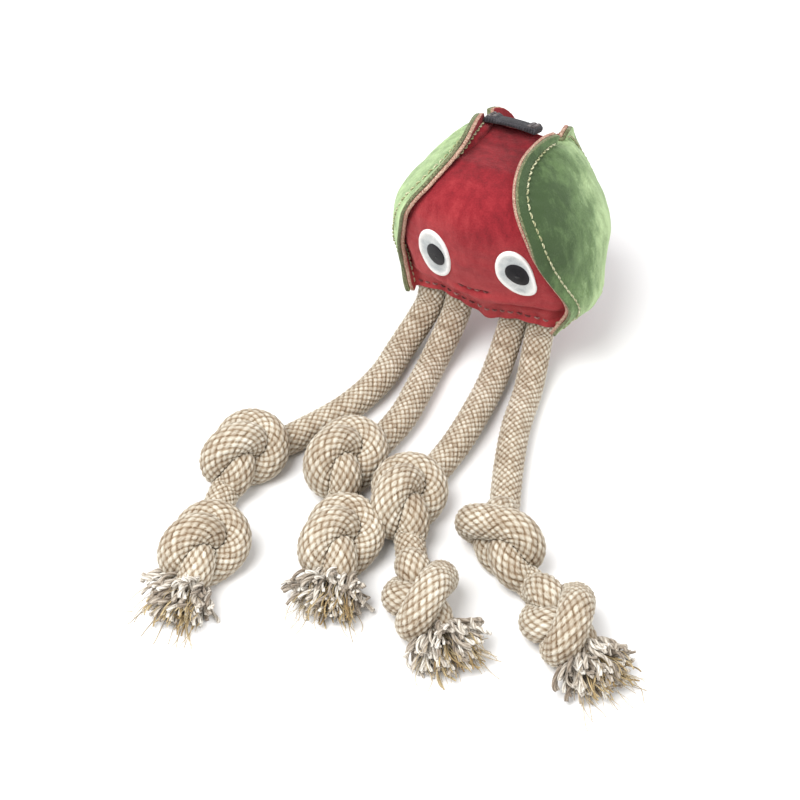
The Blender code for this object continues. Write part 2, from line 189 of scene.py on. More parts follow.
# Ropes
ROPE_DIAMETER = 12 * MM
ROPE_RADIUS = ROPE_DIAMETER / 2
ROPE_LEVEL = 6.2 * MM
KNOT_ROPE = 8.7 * MM
KNOT_RADIUS = 6.7 * MM
KNOT_LENGTH = 9.9 * KNOT_ROPE
STITCHES_AROUND = 14
STITCH_LENGTH = 3.1 * MM
STITCH_RELIEF = 0.9 * MM
RING_SIDES = 80
RING_STEP = 0.55 * MM
KNOT_IN = 20 * MM
KNOT_OUT = 17.5 * MM
KNOT_HEIGHT = 12.2 * MM
KNOT_POINTS = 96
KNOT_ROUNDS = 420
ROOT_INSIDE = 9 * MM
# A leg's rope is cut this far past its swing joint and this far before its knee
PAST_SWING = 9 * MM
BEFORE_KNEE = 4 * MM
CLUMPS = 24
YARNS_IN_CLUMP = 7
JUTE_STRANDS = 46
LOOSE_FIBRES = 44

# Each leg's bends, knee and tuft on the table, in mm from HEM_MIDDLE, and for its upper and lower
# knot the turn in degrees and the hand
LEGS = (
    {
        "way": ((-29, -38), (-34, -60), (-45, -82)),
        "knee": (-56, -132),
        "tuft": (-46, -180),
        "knots": ((340, -1), (270, -1)),
    },
    {
        "way": ((-12, -36), (-11, -54), (-13, -71)),
        "knee": (-10, -113),
        "tuft": (5, -155),
        "knots": ((310, -1), (270, -1)),
    },
    {
        "way": ((15, -40), (15, -60), (13, -79)),
        "knee": (24, -122),
        "tuft": (56, -158),
        "knots": ((320, -1), (180, 1)),
    },
    {
        "way": ((33, -40), (39, -62), (46, -83)),
        "knee": (73, -117),
        "tuft": (108, -144),
        "knots": ((135, -1), (195, 1)),
    },
)
HEM_MIDDLE = np.array((-27, 63.2)) * MM

JOINTS = {joint["name"]: joint for joint in frame["joints"]}


# Camera, floor and light --------------------------------------------------------------------------


def direction_of(azimuth, elevation):
    """From the object towards a place round it: azimuth 0 is at -Y."""
    a = math.radians(azimuth)
    e = math.radians(elevation)
    return Vector((math.sin(a) * math.cos(e), -math.cos(a) * math.cos(e), math.sin(e)))


def make_camera():
    data = bpy.data.cameras.new("camera")
    data.lens = CAMERA_LENS
    camera = bpy.data.objects.new("camera", data)
    bpy.context.scene.collection.objects.link(camera)
    back = direction_of(CAMERA_AZIMUTH, CAMERA_ELEVATION)
    camera.location = Vector(CAMERA_AIM) + back * CAMERA_DISTANCE
    camera.rotation_mode = "QUATERNION"
    camera.rotation_quaternion = (-back).to_track_quat("-Z", "Y")
    bpy.context.scene.camera = camera


def add_area_light(name, azimuth, elevation, distance, size, power):
    data = bpy.data.lights.new(name, "AREA")
    data.shape = "DISK"
    data.size = size
    data.energy = power
    lamp = bpy.data.objects.new(name, data)
    bpy.context.scene.collection.objects.link(lamp)
    towards = direction_of(azimuth, elevation)
    lamp.location = towards * distance
    lamp.rotation_mode = "QUATERNION"
    lamp.rotation_quaternion = (-towards).to_track_quat("-Z", "Y")


# Materials ----------------------------------------------------------------------------------------


class Surface:
    """A node material with short calls for the nodes that the toy's surfaces share."""

    def __init__(self, name, roughness, sheen=0.0, sheen_tint=(1, 1, 1)):
        self.material = bpy.data.materials.new(name)
        self.material.use_nodes = True
        self.tree = self.material.node_tree
        self.shader = self.tree.nodes["Principled BSDF"]
        self.shader.inputs["Roughness"].default_value = roughness
        self.shader.inputs["Specular IOR Level"].default_value = 0.25
        self.shader.inputs["Sheen Weight"].default_value = sheen
        self.shader.inputs["Sheen Roughness"].default_value = 0.45
        self.shader.inputs["Sheen Tint"].default_value = (*sheen_tint, 1)

    def add(self, kind, inputs, **settings):
        made = self.tree.nodes.new(kind)
        for key, value in settings.items():
            setattr(made, key, value)
        for key, value in inputs.items():
            if isinstance(value, bpy.types.NodeSocket):
                self.tree.links.new(value, made.inputs[key])
            else:
                made.inputs[key].default_value = value
        return made

    def place(self):
        return self.add("ShaderNodeTexCoord", {}).outputs["Object"]

    def attribute(self, name, output="Fac"):
        return self.add("ShaderNodeAttribute", {}, attribute_name=name).outputs[output]

    def noise(self, place, scale, detail=3.0, roughness=0.55):
        inputs = {"Vector": place, "Scale": scale, "Detail": detail, "Roughness": roughness}
        return self.add("ShaderNodeTexNoise", inputs).outputs["Fac"]

    def stretched(self, place, scale):
        return self.add("ShaderNodeMapping", {"Vector": place, "Scale": scale}).outputs["Vector"]

    def maths(self, kind, first, second):
        return self.add("ShaderNodeMath", {0: first, 1: second}, operation=kind).outputs[0]

    def total(self, *parts):
        """The sum of (value, weight) pairs."""
        products = [self.maths("MULTIPLY", value, weight) for value, weight in parts]
        whole = products[0]
        for product in products[1:]:
            whole = self.maths("ADD", whole, product)
        return whole

    def ramp(self, value, stops):
        made = self.add("ShaderNodeValToRGB", {"Fac": value})
        band = made.color_ramp
        band.elements[0].position = stops[0][0]
        band.elements[0].color = (*stops[0][1], 1)
        band.elements[1].position = stops[-1][0]
        band.elements[1].color = (*stops[-1][1], 1)
        for position, colour in stops[1:-1]:
            band.elements.new(position).color = (*colour, 1)
        return made.outputs["Color"]

    def mix(self, share, first, second, kind="MIX"):
        made = self.add("ShaderNodeMix", {}, data_type="RGBA", blend_type=kind)
        for socket, value in ((0, share), (6, first), (7, second)):
            if isinstance(value, bpy.types.NodeSocket):
                self.tree.links.new(value, made.inputs[socket])
            elif socket == 0:
                made.inputs[socket].default_value = value
            else:
                made.inputs[socket].default_value = (*value, 1)
        return made.outputs[2]

    def colour(self, value):
        self.tree.links.new(value, self.shader.inputs["Base Color"])

    def shaded_in_hollows(self, value, stops):
        """A base colour with painted shade in the hollows between yarns, where the height is low."""
        hollow_shade = self.ramp(self.attribute("height"), stops)
        self.colour(self.mix(1.0, value, hollow_shade, "MULTIPLY"))

    def bump(self, height, depth, strength=1.0, below=None):
        inputs = {"Height": height, "Distance": depth, "Strength": strength}
        if below is not None:
            inputs["Normal"] = below
        made = self.add("ShaderNodeBump", inputs)
        self.tree.links.new(made.outputs["Normal"], self.shader.inputs["Normal"])
        return made.outputs["Normal"]


def suede(name, tones, cut_tones, sheen_tint):
    """Split leather: suede of three tones, shifted by a per-point value that holds its brushing and painted
    light and shade, and a pale cut edge where the edge attribute is 1.
    """
    made = Surface(name, 0.93, 0.25, sheen_tint)
    place = made.place()
    clouds = made.noise(place, 55, 4, 0.6)
    strokes = made.noise(made.stretched(place, (1, 1, 0.35)), 260, 3)
    grain = made.noise(place, 1500, 4, 0.7)
    # The per-point value adds the suede's brushing and painted light and shade to its tone.
    tone = made.total((clouds, 0.2), (strokes, 0.35), (grain, 0.3), (made.attribute("nap_and_painted_light"), 1))
    nap_and_painted_light = made.ramp(tone, tuple(zip((0.21, 0.41, 0.65), tones)))
    raw = made.ramp(grain, tuple(zip((0.32, 0.5, 0.7), cut_tones)))
    edge = made.total((made.attribute("edge"), 1), (grain, 0.5))
    share = made.ramp(edge, ((0.67, (0, 0, 0)), (0.83, (1, 1, 1))))
    made.colour(made.mix(share, nap_and_painted_light, raw))
    below = made.bump(made.noise(place, 420, 3), 0.35 * MM, 0.5)
    made.bump(grain, 0.3 * MM, 0.9, below)
    return made.material


def braided_rope():
    """Cotton over jute: pale stitches with brown hollows, painted shade tinted with the jute's brown, each
    stitch in its own tone.
    """
    made = Surface("braided_rope", 0.9, 0.15, (1, 0.95, 0.85))
    place = made.attribute("fibre", "Vector")
    clouds = made.noise(place, 60, 3)
    strands = made.noise(made.stretched(place, (1, 1, 0.3)), 2600, 3, 0.7)
    tone = made.total((made.attribute("tone"), 0.16), (clouds, 0.35), (strands, 0.5))
    stops = (
        (0.25, (0.27, 0.2, 0.13)),
        (0.42, (0.44, 0.375, 0.29)),
        (0.56, (0.62, 0.575, 0.48)),
        (0.75, (0.84, 0.81, 0.73)),
    )
    cotton = made.ramp(tone, stops)
    # Painted shade in the hollows between the stitches, tinted brown like the jute.
    made.shaded_in_hollows(cotton, ((0, (0.16, 0.1, 0.06)), (0.35, (0.5, 0.4, 0.31)), (0.8, (1, 1, 1))))
    made.bump(strands, 0.35 * MM, 0.8)
    return made.material


def yarn(name, deep, middle, light):
    made = Surface(name, 0.88, 0.2, (1, 1, 1))
    place = made.place()
    fibres = made.noise(place, 2400, 3, 0.7)
    tone = made.total((made.attribute("tone"), 0.6), (fibres, 0.5))
    cotton = made.ramp(tone, ((0.2, deep), (0.5, middle), (0.85, light)))
    # Painted shade in the hollows between the plies.
    made.shaded_in_hollows(cotton, ((0, (0.35, 0.3, 0.25)), (0.6, (1, 1, 1))))
    made.bump(fibres, 0.2 * MM, 0.8)
    return made.material


def felt(name, deep, light, roughness):
    made = Surface(name, roughness, 0.1)
    place = made.place()
    clouds = made.noise(place, 180, 3)
    fibres = made.noise(place, 2600, 3, 0.7)
    # The edge value lightens the felt towards a patch's rim; the grey-blue middle of each eye's white is
    # painted shade.
    tone = made.total((clouds, 0.5), (fibres, 0.4), (made.attribute("edge"), 0.35))
    made.colour(made.ramp(tone, ((0.3, deep), (0.75, light))))
    made.bump(fibres, 0.15 * MM, 0.5)
    return made.material


def webbing():
    made = Surface("webbing", 0.95, 0.1)
    place = made.attribute("fibre", "Vector")
    yarns = made.noise(made.stretched(place, (0.4, 1, 1)), 1800, 3, 0.7)
    dust = made.noise(place, 300, 3)
    tone = made.total((yarns, 0.5), (dust, 0.3))
    stops = ((0.25, (0.018, 0.018, 0.021)), (0.42, (0.05, 0.048, 0.054)), (0.65, (0.15, 0.145, 0.155)))
    black = made.ramp(tone, stops)
    # Painted shade in the hollows of the weave.
    made.shaded_in_hollows(black, ((0, (0.25, 0.25, 0.25)), (0.6, (1, 1, 1))))
    made.bump(yarns, 0.2 * MM, 0.8)
    return made.material


def floor_paint():
    made = Surface("floor_paint", 0.9)
    clouds = made.noise(made.place(), 3, 2)
    made.colour(made.ramp(clouds, ((0.3, (0.86, 0.86, 0.86)), (0.7, (0.88, 0.88, 0.88)))))
    return made.material


# Lines and meshes ---------------------------------------------------------------------------------


def length_of(line):
    return np.linalg.norm(np.diff(line, axis=0), axis=1).sum()


def distances_along(line):
    return np.concatenate([[0], np.cumsum(np.linalg.norm(np.diff(line, axis=0), axis=1))])


def catmull_rom(before, start, end, after, t):
    """The curve from start to end that also heads for the points before and after them."""
    return 0.5 * (
        2 * start
        + (end - before) * t
        + (2 * before - 5 * start + 4 * end - after) * t**2
        + (3 * start - before - 3 * end + after) * t**3
    )


def with_ends(points):
    """The points, and one more past each end."""
    return np.vstack([2 * points[0] - points[1], points, 2 * points[-1] - points[-2]])


def smooth_line(points, step):
    """Points about a step apart on a Catmull-Rom curve through the given points."""
    points = np.array(points, float)
    ends = with_ends(points)
    line = []
    for before, start, end, after in zip(ends, ends[1:], ends[2:], ends[3:]):
        count = max(1, round(np.linalg.norm(end - start) / step))
        t = (np.arange(count) / count)[:, None]
        line.append(catmull_rom(before, start, end, after, t))
    line.append(points[-1:])
    return np.vstack(line)


def split_line(points, splits):
    """A Catmull-Rom curve with equally many points in each of its spans."""
    points = np.asarray(points)
    ends = with_ends(points)
    spans = (ends[k : len(ends) - 3 + k, None] for k in range(4))
    t = (np.arange(splits) / splits)[None, :, None]
    return np.vstack([catmull_rom(*spans, t).reshape(-1, 3), points[-1:]])


def at_distance(values, along, wanted):
    """The values part-way between a line's points, at one or more distances along it."""
    return np.stack([np.interp(wanted, along, values[:, k]) for k in range(3)], -1)


def evenly(line, count):
    along = distances_along(line)
    return at_distance(line, along, np.linspace(0, along[-1], count))


def relaxed(line, rounds):
    """The line with its corners eased; its two ends stay."""
    line = line.copy()
    for _ in range(rounds):
        line[1:-1] += 0.5 * ((line[:-2] + line[2:]) / 2 - line[1:-1])
    return line


def eased(share):
    """A share from 0 to 1 with soft ends."""
    return share * share * (3 - 2 * share)


def window(values, low, high, soft):
    """1 between two limits and 0 past them, with soft shoulders."""
    return eased(np.clip((values - low) / soft, 0, 1) * np.clip((high - values) / soft, 0, 1))


def hump(values, middle, reach):
    """1 at the middle, falling to nothing on both sides."""
    return np.exp(-(((values - middle) / reach) ** 2))


def unit(vectors):
    vectors = np.asarray(vectors, float)
    return vectors / np.maximum(np.linalg.norm(vectors, axis=-1, keepdims=True), 1e-12)


def headings_of(line):
    return unit(np.gradient(line, axis=0))


def carried_frames(line, first_side):
    """For each point: the direction of travel and two directions across it, which don't twist."""
    headings = headings_of(line)
    side = np.array(first_side, float)
    sides = []
    for heading in headings:
        side = unit(side - heading * (side @ heading))
        sides.append(side)
    sides = np.array(sides)
    return headings, sides, np.cross(headings, sides)


def grid_faces(rows, columns, closed):
    across = columns if closed else columns - 1
    row, column = np.meshgrid(np.arange(rows - 1), np.arange(across), indexing="ij")
    here = row * columns
    above = here + columns
    following = (column + 1) % columns
    faces = np.stack([here + column, here + following, above + following, above + column], -1)
    return faces.reshape(-1, 4)


def rim_of(grid):
    """The outermost entries of a grid, in order round it."""
    return np.concatenate([grid[0, :-1], grid[:-1, -1], grid[-1, :0:-1], grid[:0:-1, 0]])


def add_mesh(name, points, faces, material, attributes=None):
    mesh = bpy.data.meshes.new(name)
    mesh.from_pydata(np.asarray(points).tolist(), [], [list(face) for face in faces])
    for key, values in (attributes or {}).items():
        values = np.asarray(values, np.float32)
        if values.ndim == 2:
            mesh.attributes.new(key, "FLOAT_VECTOR", "POINT").data.foreach_set("vector", values.ravel())
        else:
            mesh.attributes.new(key, "FLOAT", "POINT").data.foreach_set("value", values)
    mesh.materials.append(material)
    mesh.shade_smooth()
    made = bpy.data.objects.new(name, mesh)
    bpy.context.scene.collection.objects.link(made)
    return made


class Bundle:
    """Many small closed tubes gathered into one piece."""

    def __init__(self):
        self.points = []
        self.faces = []
        self.values = {"tone": [], "height": []}
        self.count = 0

    def tube(self, rings, tone, height):
        """rings is rows by columns by 3; both ends are closed with a fan."""
        rows, columns = rings.shape[:2]
        caps = np.array([rings[0].mean(0), rings[-1].mean(0)])
        self.points.append(np.vstack([rings.reshape(-1, 3), caps]))
        faces = grid_faces(rows, columns, True) + self.count
        self.faces.extend(faces.tolist())
        start, end = self.count + rows * columns, self.count + rows * columns + 1
        last = self.count + (rows - 1) * columns
        for i in range(columns):
            j = (i + 1) % columns
            self.faces.append([self.count + j, self.count + i, start])
            self.faces.append([last + i, last + j, end])
        self.values["tone"].append(np.full(rows * columns + 2, tone))
        self.values["height"].append(np.append(height.ravel(), [0.7, 0.7]))
        self.count += rows * columns + 2

    def finish(self, name, material):
        values = {key: np.concatenate(parts) for key, parts in self.values.items()}
        return add_mesh(name, np.vstack(self.points), self.faces, material, values)


def twisted_rings(line, radius, sides, plies, turns, first_side=(0.3, 0.2, 1)):
    """Rings along a line whose outline has a lobe for each ply, turning as it goes."""
    _, side, over = carried_frames(line, first_side)
    along = distances_along(line)
    angle = np.linspace(0, math.tau, sides, endpoint=False)[None, :]
    turn = (along / max(along[-1], 1e-9) * turns * math.tau)[:, None]
    height = 0.5 + 0.5 * np.cos(plies * (angle - turn / plies))
    reach = np.asarray(radius).reshape(-1, 1) * (0.8 + 0.2 * height)
    rings = line[:, None] + reach[..., None] * (
        np.cos(angle)[..., None] * side[:, None] + np.sin(angle)[..., None] * over[:, None]
    )
    return rings, height


# Ropes and knots ----------------------------------------------------------------------------------


def tie_knot(way_in, heading_in, way_out, heading_out, centre, roll, hand):
    """The line of an overhand knot, pulled tight between two ends and lying on the table.

    It is turned about its length by roll degrees, and its hand is 1 or -1. It starts as an open
    trefoil. In each round the line shortens, straightens, is pushed off itself by the rope's
    thickness, and sinks to the table."""
    rounds = KNOT_ROUNDS
    travel = unit(way_in - way_out)
    upward = unit(np.array((0, 0, 1)) - travel * travel[2])
    sideways = np.cross(travel, upward)
    angle = math.radians(roll)
    turned = upward * math.cos(angle) + sideways * math.sin(angle)
    third = np.cross(travel, turned) * hand
    t = np.linspace(math.pi + 0.32, 3 * math.pi - 0.32, 48)[:, None]
    size = KNOT_ROPE * 0.62

    def placed(a, b, c):
        return centre + size * (a * travel + b * turned + c * third)

    loops = placed(np.sin(t) + 2 * np.sin(2 * t), np.cos(t) - 2 * np.cos(2 * t) + 3.4, -np.sin(3 * t))
    start = [way_in, placed(2.4, -1, 0), placed(1.2, -0.55, 0)]
    end = [placed(-1.2, -0.55, 0), placed(-2.4, -1, 0), way_out]
    line = evenly(smooth_line(start + list(loops) + end, 2 * MM), KNOT_POINTS)
    loose = length_of(line)
    tight = np.linalg.norm(way_in - way_out) + KNOT_LENGTH
    places = np.arange(KNOT_POINTS)
    between = np.abs(places[:, None] - places[None])
    for turn in range(rounds):
        share = min(1, turn / (0.7 * rounds))
        step = (loose + (tight - loose) * share) / (KNOT_POINTS - 1)
        second = way_in + heading_in * step
        last_but_one = way_out - heading_out * step
        held = ((0, way_in), (1, second), (-1, way_out), (-2, last_but_one))
        for _ in range(6):
            for first in (0, 1):
                i = places[first:-1:2]
                gap = line[i + 1] - line[i]
                reach = np.linalg.norm(gap, axis=1, keepdims=True)
                move = 0.5 * (reach - step) / reach * gap
                line[i] += move
                line[i + 1] -= move
            for place, point in held:
                line[place] = point
        for _ in range(3):
            line[1:-1] += 0.35 * ((line[:-2] + line[2:]) / 2 - line[1:-1])
        apart = math.ceil(1.45 * KNOT_ROPE / step)
        table = 5.6 * MM - 40 * MM * max(0, 1 - 2.5 * turn / rounds)
        for _ in range(3):
            gap = line[:, None] - line[None]
            reach = np.sqrt((gap**2).sum(2))
            touching = (reach < KNOT_ROPE) & (between >= apart)
            push = np.where(touching, (KNOT_ROPE - reach) / np.maximum(reach, 1e-6) * 0.65, 0)
            line += (gap * push[..., None]).sum(1) / np.maximum(touching.sum(1), 1)[:, None]
            line[:, 2] = np.maximum(line[:, 2], table)
        drift = centre - line[10:-10].mean(0)
        line[2:-2] += drift * (0.05, 0.05, 0.01)
        line[2:-2, 2] -= 0.02 * MM
        for place, point in held:
            line[place] = point
    return line


def on_table(place, height):
    return np.array((*(HEM_MIDDLE + np.array(place) * MM), height))


def knot_centre(node):
    low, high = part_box(node)
    middle = (low + high) / 2
    return np.array((middle.x, middle.y, KNOT_HEIGHT))


def level(vector):
    return unit(np.array((vector[0], vector[1], 0)))


def leg_line(index):
    """The centreline of a whole leg, from inside the hem to its frayed end, and its named places."""
    plan = LEGS[index]
    name = f"leg_{index + 1}"
    swing = np.array(JOINTS[f"{name}_swing"]["pos_m"])
    lift = np.array(JOINTS[f"{name}_lift"]["pos_m"])
    knee = np.array(JOINTS[f"{name}_curl"]["pos_m"])
    out_of_hem = np.array((0, -math.sin(HEAD_LEAN), -math.cos(HEAD_LEAN)))
    hem = swing - out_of_hem * SWING_DROP
    upper = knot_centre(f"{name}_upper_knot")
    lower = knot_centre(f"{name}_lower_knot")
    bends = [on_table(place, ROPE_LEVEL) for place in plan["way"]]
    knee_way = on_table(plan["knee"], ROPE_LEVEL)
    tuft = on_table(plan["tuft"], ROPE_LEVEL)
    upper_in = level(upper - bends[-1])
    upper_out = level(knee_way - upper)
    lower_in = level(lower - knee_way)
    lower_out = level(tuft - lower)

    def beside(centre, heading, distance, height):
        return np.array((*(centre + heading * distance)[:2], height))

    first_in = beside(upper, -upper_in, KNOT_IN, ROPE_LEVEL)
    first_out = beside(upper, upper_out, KNOT_OUT, ROPE_LEVEL + 0.6 * MM)
    second_in = beside(lower, -lower_in, KNOT_IN - 1 * MM, ROPE_LEVEL)
    second_out = beside(lower, lower_out, KNOT_OUT - 1 * MM, ROPE_LEVEL + 0.6 * MM)
    to_knot = smooth_line([hem - out_of_hem * ROOT_INSIDE, hem, swing, lift, *bends, first_in], 2 * MM)
    upper_turn, lower_turn = plan["knots"]
    first = tie_knot(first_in, upper_in, first_out, upper_out, upper, *upper_turn)
    second = tie_knot(second_in, lower_in, second_out, lower_out, lower, *lower_turn)
    line = np.vstack([to_knot[:-1], first, second])
    line = relaxed(evenly(line, round(length_of(line) / (1.5 * MM))), 3)
    line = evenly(line, round(length_of(line) / RING_STEP))
    along = distances_along(line)

    def nearest(point, low=0.0, high=1.0):
        inside = (along >= low * along[-1]) & (along <= high * along[-1])
        reach = np.where(inside, np.linalg.norm(line - point, axis=1), 1)
        return int(reach.argmin())

    marks = {
        "hem": nearest(hem, 0, 0.2),
        "swing": nearest(swing, 0, 0.2),
        "lift": nearest(lift, 0, 0.3),
        "first_in": nearest(first_in, 0.1, 0.5),
        "first_out": nearest(first_out, 0.4, 0.8),
        "knee": nearest(knee, 0.4, 0.8),
        "second_in": nearest(second_in, 0.5, 0.8),
        "end": len(line) - 1,
    }
    return line, marks, lower_out


def braid(angle, along):
    """Height and tone of a tubular braid, over and under by turns, at an angle and a length."""
    turn = angle * STITCHES_AROUND / math.tau
    rise = along / STITCH_LENGTH
    first = turn + rise
    second = turn - rise
    cell_first = np.floor(first)
    cell_second = np.floor(second)
    over = (cell_first + cell_second) % 2
    u = first - cell_first
    v = second - cell_second
    along_strand = np.where(over > 0.5, v, u)
    across_strand = np.where(over > 0.5, u, v)
    height = np.sin(math.pi * across_strand) ** 0.7 * (0.35 + 0.65 * np.sin(math.pi * along_strand) ** 0.6)
    cell_second = cell_second + over * STITCHES_AROUND * 7
    # Each stitch's tone is the fraction of a large number that depends only on its cell
    scattered = np.sin((cell_first % STITCHES_AROUND) * 12.9898 + cell_second * 78.233)
    tone = np.modf(np.abs(scattered) * 43758.5453)[0]
    return height, tone


def rope_rings(line, marks):
    """Every ring of a leg's rope, with the braid's relief, pressed flat by the table and by itself."""
    along = distances_along(line)
    _, side, over = carried_frames(line, (1, 0, 0))
    angle = np.linspace(0, math.tau, RING_SIDES, endpoint=False)[None, :]
    outward = np.cos(angle)[..., None] * side[:, None] + np.sin(angle)[..., None] * over[:, None]
    radius = np.full(len(line), ROPE_RADIUS)
    for start, end in (("first_in", "first_out"), ("second_in", "end")):
        low, high = along[marks[start]], along[marks[end]]
        radius += (KNOT_RADIUS - ROPE_RADIUS) * window(along, low, high, 9 * MM)
    reach = np.repeat(radius[:, None], RING_SIDES, 1)
    downward = -outward[..., 2]
    to_table = (line[:, 2:3] - 0.15 * MM) / np.maximum(downward, 0.05)
    floor = np.where(downward > 0.05, to_table, 1)
    reach = np.minimum(reach, np.maximum(floor, 0.6 * ROPE_RADIUS))
    sparse = np.arange(0, len(line), 3)
    for row in range(len(line)):
        gap = line[sparse] - line[row]
        distance = np.linalg.norm(gap, axis=1)
        close = (distance < 2.1 * ROPE_RADIUS) & (np.abs(along[sparse] - along[row]) > 1.35 * KNOT_ROPE)
        if close.any():
            towards = gap[close] / distance[close, None]
            facing = outward[row] @ towards.T
            limit = np.where(facing > 0.1, distance[close][None] * 0.51 / np.maximum(facing, 0.1), 1)
            reach[row] = np.minimum(reach[row], limit.min(1))
    spread = 2
    padded = np.pad(reach, ((spread, spread), (0, 0)), mode="edge")
    reach = np.mean([padded[k : k + len(line)] for k in range(2 * spread + 1)], 0)
    reach = (np.roll(reach, 1, 1) + 2 * reach + np.roll(reach, -1, 1)) / 4
    in_hem = np.clip(1 - (along - along[marks["hem"]]) / (7 * MM), 0, 1)[:, None]
    thin = np.abs(outward @ np.array((0, math.cos(HEAD_LEAN), -math.sin(HEAD_LEAN))))
    reach = reach * (1 - 0.3 * in_hem * thin**2)
    height, tone = braid(angle, along[:, None])
    reach = reach + STITCH_RELIEF * (height - 0.75)
    points = line[:, None] + outward * reach[..., None]
    points[..., 2] = np.maximum(points[..., 2], 0.1 * MM)
    straight = (np.cos(angle) * ROPE_RADIUS, np.sin(angle) * ROPE_RADIUS, along[:, None])
    fibre = np.stack(np.broadcast_arrays(*straight), -1)
    return points, height, tone, fibre


def rope_piece(name, rings, first, last, material):
    """One closed stretch of a leg's rope, from its first ring to its last."""
    points, height, tone, fibre = (part[first : last + 1] for part in rings)
    rows = len(points)
    faces = grid_faces(rows, RING_SIDES, True).tolist()
    faces.append(list(range(RING_SIDES))[::-1])
    faces.append([(rows - 1) * RING_SIDES + i for i in range(RING_SIDES)])
    values = {"height": height.ravel(), "tone": tone.ravel(), "fibre": fibre.reshape(-1, 3)}
    return add_mesh(name, points.reshape(-1, 3), faces, material, values)


def yarn_line(root, heading, start, end, curl, random):
    """One curling yarn. Its start and end are given across, up and along from the rope's end."""
    side = unit(np.cross(heading, (0, 0, 1)))
    t = np.linspace(0, 1, 16)[:, None]
    bow = t**0.8
    across = start[0] * (1 - bow) + end[0] * bow
    up = start[1] * (1 - bow) + end[1] * bow
    along = start[2] * (1 - t) + end[2] * t
    phase = random.uniform(0, math.tau)
    turns = random.uniform(0.5, 1.3) * math.tau
    across = across + curl * t * np.sin(phase + turns * t)
    up = up + curl * t * np.cos(phase + turns * t)
    line = root + side * across + heading * along
    line[:, 2] = root[2] + up[:, 0]
    return line


def lay_yarn(bundle, line, thickness, sides, plies, turns, tone):
    """Add one twisted yarn that rests on the table where it would pass through it."""
    line[:, 2] = np.maximum(line[:, 2], thickness + 0.1 * MM)
    rings, height = twisted_rings(line, thickness, sides, plies, turns)
    shade = np.linspace(0.45, 1, len(line))[:, None]
    bundle.tube(rings, tone, height * shade)


def frayed_end(index, root, heading, materials):
    """The unlaid end of a leg: clumps of curled cotton yarns round a jute core, with loose fibres."""
    random = np.random.default_rng(40 + index)
    cotton = Bundle()
    jute = Bundle()
    golden = math.pi * (3 - math.sqrt(5))
    for i in range(CLUMPS):
        share = math.sqrt((i + 0.5) / CLUMPS)
        angle = i * golden + random.uniform(-0.3, 0.3)
        out = np.array((math.cos(angle), math.sin(angle)))
        lean = 1.35 * share
        start = out * 5 * MM * share
        end = out * np.array((14.5, 10)) * MM * math.sin(lean)
        reach = (2 + 14 * math.cos(lean)) * MM
        for _ in range(YARNS_IN_CLUMP):
            near = random.normal(0, 0.7 * MM, 2)
            far = random.normal(0, 1.8 * MM, 2)
            thickness = random.uniform(0.55, 0.95) * MM
            length = reach * random.uniform(0.75, 1.15)
            from_place = (*(start + near), (-2.5 - 3 * share) * MM)
            to_place = (*(end + far), length)
            line = yarn_line(root, heading, from_place, to_place, random.uniform(1, 2.6) * MM, random)
            lay_yarn(cotton, line, thickness, 8, 3, 4, random.uniform(0, 1))
    for _ in range(JUTE_STRANDS):
        out = random.uniform(-1, 1, 2)
        from_place = (*(out * 2.6 * MM), -2 * MM)
        to_place = (*(out * np.array((10, 5)) * MM - (2 * MM, 0)), random.uniform(12, 19) * MM)
        line = yarn_line(root, heading, from_place, to_place, 1.6 * MM, random)
        lay_yarn(jute, line, random.uniform(0.2, 0.42) * MM, 5, 2, 3, random.uniform(0.1, 1))
    for _ in range(LOOSE_FIBRES):
        out = random.uniform(-1, 1, 2)
        from_place = (*(out * 4 * MM), -2 * MM)
        to_place = (*(out * np.array((15, 8)) * MM), random.uniform(10, 25) * MM)
        line = yarn_line(root, heading, from_place, to_place, random.uniform(0.5, 3) * MM, random)
        thickness = random.uniform(0.09, 0.15) * MM
        lay_yarn(jute, line, thickness, 4, 2, 2, random.uniform(0.6, 1))
    name = f"leg_{index + 1}"
    return (
        cotton.finish(f"{name}_cotton_yarns", materials["cut_cotton"]),
        jute.finish(f"{name}_jute_fibres", materials["jute"]),
    )


def make_leg(index, materials):
    name = f"leg_{index + 1}"
    line, marks, tail = leg_line(index)
    rings = rope_rings(line, marks)
    root_cut = marks["swing"] + round(PAST_SWING / RING_STEP)
    knee_cut = marks["knee"] - round(BEFORE_KNEE / RING_STEP)
    cotton_rope = materials["braided_rope"]
    root = rope_piece(f"{name}_rope_root", rings, 0, root_cut, cotton_rope)
    upper = rope_piece(f"{name}_rope_upper", rings, root_cut, knee_cut, cotton_rope)
    lower = rope_piece(f"{name}_rope_lower", rings, knee_cut, marks["end"], cotton_rope)
    cotton, jute = frayed_end(index, line[-1], tail, materials)

    bend_body, upper_body, lower_body = f"{name}_bend", f"{name}_upper", f"{name}_lower"
    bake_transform(root)
    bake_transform(upper)
    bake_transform(lower)
    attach(cotton, lower_body)
    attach(jute, lower_body)
    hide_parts(f"{name}_root", f"{name}_bend")
    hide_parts(f"{name}_upper_rope", f"{name}_upper_knot")
    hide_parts(f"{name}_lower_rope", f"{name}_lower_knot")
    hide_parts(f"{name}_frayed_end")


# Head ---------------------------------------------------------------------------------------------


def to_world(points):
    """From the head's upright frame to its leaning place, with one cheek pushed out over the hem."""
    points = np.asarray(points, float)
    x, y, z = points[..., 0], points[..., 1], points[..., 2]
    outer = np.clip(x / (32 * MM), 0, 1) ** 1.5
    x = x + CHEEK_PUSH * hump(z, CHEEK_HEIGHT, CHEEK_REACH) * outer
    lean_sin, lean_cos = math.sin(HEAD_LEAN), math.cos(HEAD_LEAN)
    return np.stack([x, y * lean_cos + z * lean_sin, z * lean_cos - y * lean_sin], -1) + HEAD_ORIGIN


